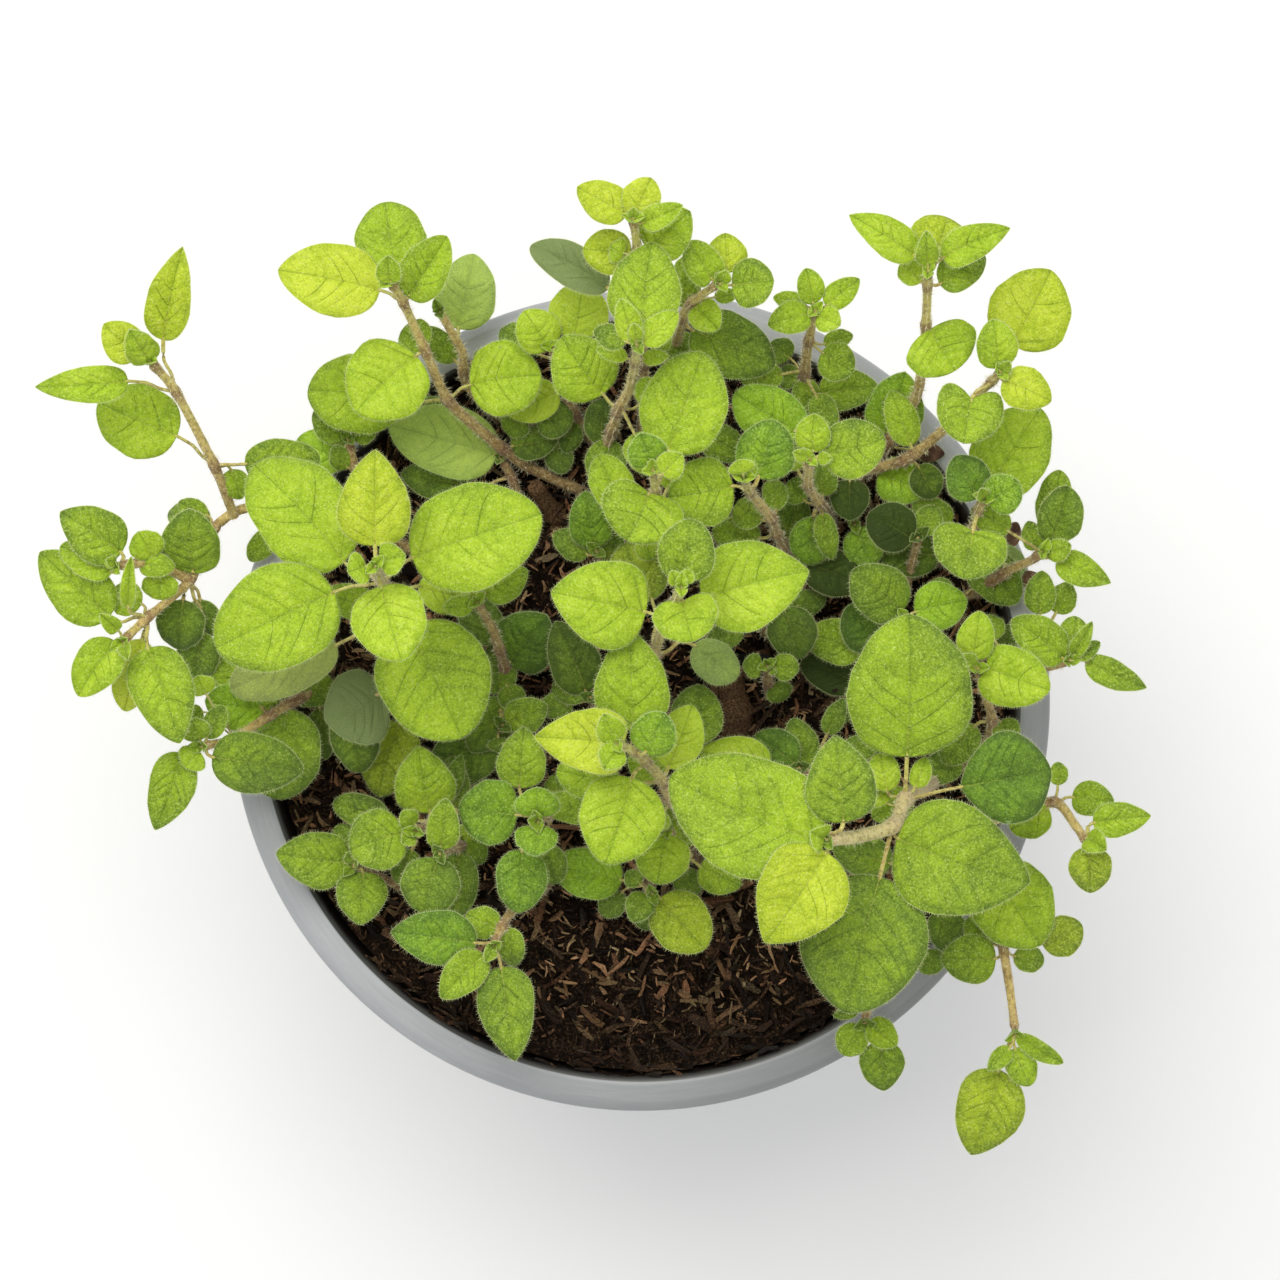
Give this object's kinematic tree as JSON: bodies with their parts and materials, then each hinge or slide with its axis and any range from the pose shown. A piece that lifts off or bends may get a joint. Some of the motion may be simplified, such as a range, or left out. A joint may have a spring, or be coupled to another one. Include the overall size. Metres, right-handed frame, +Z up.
{
  "type": "potted oregano",
  "caption": "Round tapered plastic pot with a broad rim, filled with peaty soil and grown over with leafy oregano stems.",
  "frame": {"origin": "middle of the pot's flat base, on the surface it stands on", "axes": "+Z up along the pot's axis; seen from above, +X is to the picture's right and +Y to its top"},
  "size_m": [0.2157, 0.1879, 0.1916],
  "materials": {
    "pot_plastic": "satin",
    "soil_peat": "matte",
    "leaf_young": "matte",
    "leaf_grown": "matte",
    "leaf_shaded": "matte"
  },
  "bodies": {
    "root": {"pot": "pot_plastic", "soil": "soil_peat", "stem_back_centre": "leaf_young", "stem_back_core": "leaf_shaded", "stem_back_core_small": "leaf_shaded", "stem_back_left": "leaf_grown", "stem_back_right": "leaf_young", "stem_back_right_small": "leaf_grown", "stem_back_top": "leaf_young", "stem_big_rosette": "leaf_young", "stem_centre": "leaf_young", "stem_centre_back": "leaf_young", "stem_centre_front": "leaf_young", "stem_far_left": "leaf_young", "stem_front_right_small": "leaf_grown", "stem_front_small": "leaf_grown", "stem_front_tiny": "leaf_grown", "stem_left_core": "leaf_shaded", "stem_left_front_core": "leaf_shaded", "stem_left_low": "leaf_grown", "stem_left_middle": "leaf_young", "stem_left_under": "leaf_shaded", "stem_low_front": "leaf_grown", "stem_low_left": "leaf_grown", "stem_low_left_inner": "leaf_grown", "stem_low_middle": "leaf_grown", "stem_middle_core": "leaf_shaded", "stem_middle_core_small": "leaf_shaded", "stem_middle_left_core": "leaf_shaded", "stem_middle_tiny": "leaf_grown", "stem_right_back_core": "leaf_shaded", "stem_right_core": "leaf_shaded", "stem_right_front_core": "leaf_shaded", "stem_right_high": "leaf_young", "stem_right_inner": "leaf_grown", "stem_right_low": "leaf_grown", "stem_right_low_small": "leaf_grown", "stem_right_middle": "leaf_young", "stem_right_middle_small": "leaf_young", "stem_right_outer": "leaf_grown", "stem_right_thin": "leaf_grown", "stem_right_upright": "leaf_grown", "stem_rim_left": "leaf_grown", "stem_tall_centre": "leaf_young", "stem_upper_back": "leaf_grown", "stem_upper_core": "leaf_shaded", "stem_upper_left": "leaf_young", "stem_upper_left_core": "leaf_shaded"}
  },
  "joints": []
}
